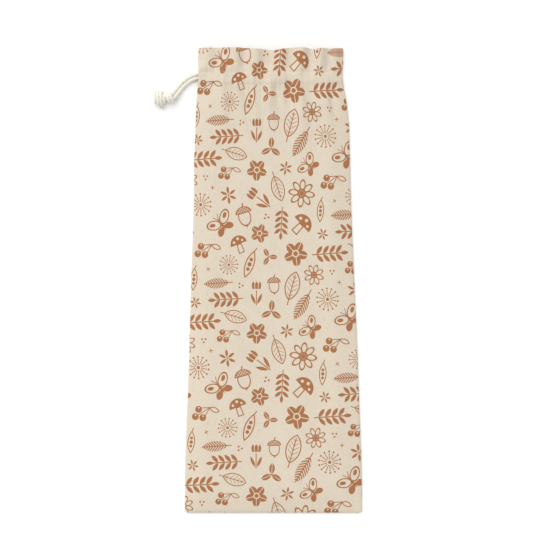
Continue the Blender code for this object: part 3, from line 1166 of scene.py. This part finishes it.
class Solid:
    """Reads the outline and the upper face of one of the bag's solids."""

    def __init__(self, node):
        self.tree = BVHTree.FromObject(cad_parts[node], bpy.context.evaluated_depsgraph_get())
        self.low, self.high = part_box(node)

    def top(self, x, y):
        return height_at(self.tree, x, y)

    def reach(self, start, ahead, limit):
        """How far the solid goes from a start inside it, by halving."""
        inside, outside = 0.0, limit
        for _ in range(SIDE_STEPS):
            middle = (inside + outside) / 2
            place = Vector(start) + Vector(ahead) * middle
            if self.top(place.x, place.y) is None:
                outside = middle
            else:
                inside = middle
        return inside


def panel_grid(node, columns, rows):
    """Places of a panel's points, rows of columns, on the upper face of its solid."""
    solid = Solid(node)
    start = solid.low.y + CORNER_ZONE
    end = solid.high.y - MOUTH_ZONE
    edge = EDGE_POINTS / FLAT_WIDTH
    inside = np.linspace(edge[-1], 1.0 - edge[-1], columns - 2 * len(edge) + 3)
    share = np.concatenate([edge[:-1], inside, 1.0 - edge[-2::-1]])
    x = np.zeros((len(rows), columns + 1))
    for i, row in enumerate(rows):
        y = min(max(row, start), end)
        left = -solid.reach((0.0, y, 0.0), (-1, 0, 0), FLAT_WIDTH)
        right = solid.reach((0.0, y, 0.0), (1, 0, 0), FLAT_WIDTH)
        x[i] = left + (right - left) * share
    y = np.repeat(rows[:, None], columns + 1, axis=1)
    for j in range(columns + 1):
        low_x, high_x = x[0, j] * (1 - SIDE_INSET), x[-1, j] * (1 - SIDE_INSET)
        bottom = start - solid.reach((low_x, start, 0.0), (0, -1, 0), 2 * CORNER_ZONE)
        bottom = rows[0] + CORNER_SHARE * (bottom - rows[0])
        mouth = end + solid.reach((high_x, end, 0.0), (0, 1, 0), 2 * MOUTH_ZONE)
        low_share = np.clip((start - rows) / (start - rows[0]), 0.0, 1.0)
        high_share = np.clip((rows - end) / (rows[-1] - end), 0.0, 1.0)
        y[:, j] += low_share * (bottom - rows[0]) + high_share * (mouth - rows[-1])
    z = np.zeros_like(x)
    for i in range(len(rows)):
        for j in range(columns + 1):
            z[i, j] = solid.top(x[i, j] * READ_ACROSS, y[i, j] * READ_ALONG) or np.nan
        good = ~np.isnan(z[i])
        z[i] = np.interp(share, share[good], z[i][good])
    return x, y, z


def softened(z, rounds):
    """Even out the solid's facets: each point moves halfway to the mean of its neighbours."""
    # Each pass evens out along the grid and turns it, so that the next one works across it.
    for _ in range(2 * rounds):
        wide = np.pad(z, ((1, 1), (0, 0)), mode="edge")
        z = (0.5 * z + 0.25 * (wide[:-2] + wide[2:])).T
    return z


def crease_heights(x, y):
    """The creases' heights over a grid, in metres."""
    total = np.zeros_like(x)
    for start_x, start_y, end_x, end_y, half_width, rise in np.array(CREASES) * MM:
        share = (y - start_y) / (end_y - start_y)
        middle = start_x + share * (end_x - start_x)
        fade = smooth(share * CREASE_FADE_IN) * smooth((1.0 - share) * CREASE_FADE_OUT)
        total += rise * fade * hump(x - middle, half_width)
    return total


def ruffles(x, y):
    """The hem's soft ruffles above the channel, in metres."""
    turns = np.interp(x, RUFFLE_RIDGES, np.arange(len(RUFFLE_RIDGES)))
    above = smooth((y - UPPER_STITCHES + RUFFLE_BELOW) / RUFFLE_FADE)
    return RUFFLE_DEPTH * np.cos(2 * math.pi * turns) * above


def puckers(x, y):
    """Fine uneven gathers that run from each row of stitches, in metres."""
    total = np.zeros_like(x)
    change, change_rate, change_shift = PUCKER_CHANGE
    for k, row in enumerate(STITCH_ROWS):
        drift = sum(size * np.sin(x * rate + shift * k) for size, rate, shift in PUCKER_DRIFTS)
        wave = np.sin(2 * math.pi * (x + drift) / PUCKER_PITCH + PUCKER_SHIFT * k)
        uneven = (1.0 - change) + change * np.sin(x * change_rate + change_shift * k)
        total += PUCKER_DEPTH * uneven * wave * hump(y - row, PUCKER_REACH)
    return total


def stitch_sink(y):
    """How far the cloth is drawn down along both rows of stitches, in metres."""
    return STITCH_SINK * sum(hump(y - row, SINK_REACH) for row in STITCH_ROWS)


def sheet_from_grid(name, x, y, z, outside_up):
    """One sheet through a grid of points, with the cloth's map on it in metres."""
    rows, columns = x.shape
    deselect_all()
    bpy.ops.mesh.primitive_grid_add(x_subdivisions=columns - 1, y_subdivisions=rows - 1, size=1.0)
    sheet = bpy.context.object
    sheet.name = name
    points = np.stack([x, y, z], axis=-1).reshape(-1, 3)
    sheet.data.vertices.foreach_set("co", points.ravel())

    left, right = x[:, :1], x[:, -1:]
    flat = ((x - left) / (right - left) - 0.5) * FLAT_WIDTH
    across = GATHERED_SHARE * flat + (1 - GATHERED_SHARE) * x
    if not outside_up:
        across = FLAT_WIDTH * BACK_PRINT_SHIFT - across
    cloth = np.stack([across, y - BOTTOM], axis=-1).reshape(-1, 2)
    corner_points = np.zeros(len(sheet.data.loops), dtype=np.int32)
    sheet.data.loops.foreach_get("vertex_index", corner_points)
    layer = sheet.data.uv_layers[0]
    layer.name = CLOTH_MAP
    layer.uv.foreach_set("vector", cloth[corner_points].ravel())
    if not outside_up:
        edit(sheet, (bpy.ops.mesh.flip_normals, {}))
    return sheet


def give_thickness(sheet, y, settings, materials):
    """Thicken the sheet to its inner side: one layer, and two in the hem."""
    hemmed = smooth((y.ravel() - LOWER_STITCHES) / HEM_FADE + 0.5)
    share = (settings.cloth + hemmed * (settings.hem - settings.cloth)) / settings.hem
    group = sheet.vertex_groups.new(name="share of the thickness")
    for index, value in enumerate(share):
        group.add([index], float(value), "REPLACE")
    for material in materials:
        sheet.data.materials.append(material)
    take(sheet)
    modifier = sheet.modifiers.new("cloth", "SOLIDIFY")
    modifier.thickness = settings.hem
    modifier.offset = -1.0
    modifier.vertex_group = group.name
    modifier.material_offset = 1
    modifier.material_offset_rim = 0
    bpy.ops.object.modifier_apply(modifier=modifier.name)
    sheet.vertex_groups.clear()
    bpy.ops.object.shade_smooth()


def panel_rows(settings):
    """Rows along the bag: closer together at its ends, in the gathers and in the hem."""
    bottom = BOTTOM + EDGE_POINTS
    body = np.linspace(bottom[-1], GATHERS_FROM, settings.body_rows + 1)
    top = MOUTH - EDGE_POINTS[::-1]
    mouth = np.linspace(GATHERS_FROM, top[0], settings.mouth_rows + 1)
    return np.concatenate([bottom, body[1:], mouth[1:], top[1:]])


def panel_materials(colours):
    names = (("Printed cloth", 1.0), ("Inner side of the cloth", INNER_PRINT))
    if "plain weave" not in bpy.data.node_groups:
        weave_group()
        print_group()
    found = [bpy.data.materials.get(name) for name, printed in names]
    if None in found:
        found = [cloth_material(name, colours, printed) for name, printed in names]
    return found


def from_side(x):
    return np.minimum(x - x[:, :1], x[:, -1:] - x)


def cord_hole(x, y):
    """1 where the cord lies between the panels at the channel's left end, 0 away from it."""
    beside = smooth((HOLE_HALF + HOLE_FADE - np.abs(y - CORD_EXIT[1])) / HOLE_FADE)
    return beside * smooth((HOLE_INNER_END - x) / HOLE_FADE)


def front_surface(settings):
    x, y, z = panel_grid("front_panel", settings.columns, panel_rows(settings))
    z = softened(z, SMOOTHING)
    edge = from_side(x)
    z += (crease_heights(x, y) + ruffles(x, y)) * smooth(edge / CREASE_EDGE)
    z += puckers(x, y) * smooth(edge / PUCKER_EDGE)
    z -= stitch_sink(y) * smooth(edge / SINK_EDGE)
    # The seam allowances inside make a slight band beside the sewn edges.
    inner = np.minimum(edge, y - y[:1])
    z += SEAM_RISE * hump(inner - SEAM_INSET / 2, SEAM_INSET / 2)
    # The edges roll down to the back panel where they are sewn, but not over the cord.
    lowest = BACK_TOP - SEWN_GAP + settings.cloth
    out = np.clip(1.0 - inner / EDGE_ROLL, 0.0, 1.0) * (1.0 - cord_hole(x, y))
    z += (1.0 - np.sqrt(1.0 - out * out)) * (np.minimum(z, lowest) - z)
    return x, y, z


def back_surface(settings):
    x, y, z = panel_grid("back_panel", settings.columns // 2, panel_rows(settings)[::2])
    edge = np.minimum(from_side(x), y - y[:1])
    z[:] = BACK_LIFT
    gathers = smooth((y - WAVES_FROM) / WAVES_FADE)
    waves = 0.5 + 0.5 * np.sin(x * WAVE_RATE + WAVE_SWAY * np.sin(x * SWAY_RATE) + y * WAVE_SLANT)
    z += WAVE_DEPTH * gathers * waves * smooth(edge / WAVE_EDGE) * (1.0 - cord_hole(x, y))
    z += (BACK_TOP - settings.cloth - SEWN_GAP - z) * (1.0 - smooth(edge / BACK_EDGE))
    return x, y, z


def make_panel(context, name, node, surface, outside_up):
    """A panel's sheet on its surface, with its thickness and its cloth."""
    settings = context.scene.bread_bag
    x, y, z = surface(settings)
    sheet = sheet_from_grid(name, x, y, z, outside_up)
    give_thickness(sheet, y, settings, panel_materials(context.scene.bread_bag_colours))
    finish_piece(sheet, "cloth", node)
    return sheet


class BREADBAG_OT_front_panel(bpy.types.Operator):
    """Make the printed front panel on its solid's folds, with creases, puckers and its hem"""

    bl_idname = "breadbag.front_panel"
    bl_label = "Front panel"

    def execute(self, context):
        sheet = make_panel(context, "Front_cloth", "front_panel", front_surface, True)
        return {"FINISHED"}


class BREADBAG_OT_back_panel(bpy.types.Operator):
    """Make the back panel, printed side down on the table"""

    bl_idname = "breadbag.back_panel"
    bl_label = "Back panel"

    def execute(self, context):
        sheet = make_panel(context, "Back_cloth", "back_panel", back_surface, False)
        return {"FINISHED"}


# ---- the stitches

THREAD = 0.00042
STITCH_INSET = 0.003
STITCH_SIDES = 8
STITCH_RINGS = 5
STITCH_LIFT = 0.2


class BREADBAG_OT_stitches(bpy.types.Operator):
    """Make the two rows of stitches along the channel"""

    bl_idname = "breadbag.stitches"
    bl_label = "Stitches"

    def execute(self, context):
        settings = context.scene.bread_bag
        thread = opaque(context.scene.bread_bag_colours.thread)
        cloth = bpy.data.objects["Front_cloth"]
        surface = BVHTree.FromObject(cloth, context.evaluated_depsgraph_get())
        deselect_all()
        bpy.ops.mesh.primitive_uv_sphere_add(
            segments=STITCH_SIDES, ring_count=STITCH_RINGS, radius=0.5, rotation=(0, math.pi / 2, 0)
        )
        one = context.object
        one.name = "Stitches"
        one.scale = (THREAD, THREAD, settings.stitch)
        bpy.ops.object.transform_apply(location=False, rotation=True, scale=True)
        bpy.ops.object.shade_smooth()
        entries = {"Roughness": 0.9, "Base Color": thread}
        one.data.materials.append(new_material("Sewing thread", entries)[0])

        half = settings.stitch / 2
        pitch = settings.stitch + settings.stitch_gap
        low, high = FRONT_LOW.x + STITCH_INSET, FRONT_HIGH.x - STITCH_INSET
        stitches = []
        for row in STITCH_ROWS:
            for k in range(int((high - low) / pitch)):
                middle = low + k * pitch
                places = (middle - half, middle, middle + half)
                heights = [height_at(surface, place, row) for place in places]
                if None in heights:
                    continue
                stitch = one.copy()
                stitch.data = one.data.copy()
                context.scene.collection.objects.link(stitch)
                stitch.location = (middle, row, sum(heights) / 3 + THREAD * STITCH_LIFT)
                stitch.rotation_euler.y = -math.atan2(heights[2] - heights[0], settings.stitch)
                stitches.append(stitch)
        bpy.data.objects.remove(one)
        rows = join("Stitches", stitches)
        bpy.ops.object.transform_apply(location=True, rotation=True, scale=True)
        finish_piece(rows, "cloth")
        return {"FINISHED"}


# ---- the add-on


class BREADBAG_PT_panel(bpy.types.Panel):
    """The bag's sizes, colours and pieces"""

    bl_idname = "BREADBAG_PT_panel"
    bl_label = "Bread Bag"
    bl_space_type = "VIEW_3D"
    bl_region_type = "UI"
    bl_category = "Bread Bag"

    def draw(self, context):
        layout = self.layout
        for settings in (
            context.scene.bread_bag,
            context.scene.bread_bag_colours,
            context.scene.bread_bag_stage,
        ):
            box = layout.box()
            for name in settings.bl_rna.properties.keys():
                if name not in ("rna_type", "name"):
                    box.prop(settings, name)
        for operator in OPERATORS:
            layout.operator(operator.bl_idname)


OPERATORS = (
    BREADBAG_OT_stage,
    BREADBAG_OT_knot,
    BREADBAG_OT_drawstring,
    BREADBAG_OT_front_panel,
    BREADBAG_OT_back_panel,
    BREADBAG_OT_stitches,
)
CLASSES = (BagSettings, ColourSettings, StageSettings) + OPERATORS + (BREADBAG_PT_panel,)


def register():
    for cls in CLASSES:
        bpy.utils.register_class(cls)
    bpy.types.Scene.bread_bag = PointerProperty(type=BagSettings)
    bpy.types.Scene.bread_bag_colours = PointerProperty(type=ColourSettings)
    bpy.types.Scene.bread_bag_stage = PointerProperty(type=StageSettings)


def unregister():
    del bpy.types.Scene.bread_bag_stage
    del bpy.types.Scene.bread_bag_colours
    del bpy.types.Scene.bread_bag
    for cls in reversed(CLASSES):
        bpy.utils.unregister_class(cls)


def main():
    register()
    bpy.ops.breadbag.stage()
    bpy.ops.breadbag.knot()
    bpy.ops.breadbag.drawstring()
    bpy.ops.breadbag.front_panel()
    bpy.ops.breadbag.back_panel()
    bpy.ops.breadbag.stitches()
    deselect_all()


if __name__ == "__main__":
    main()
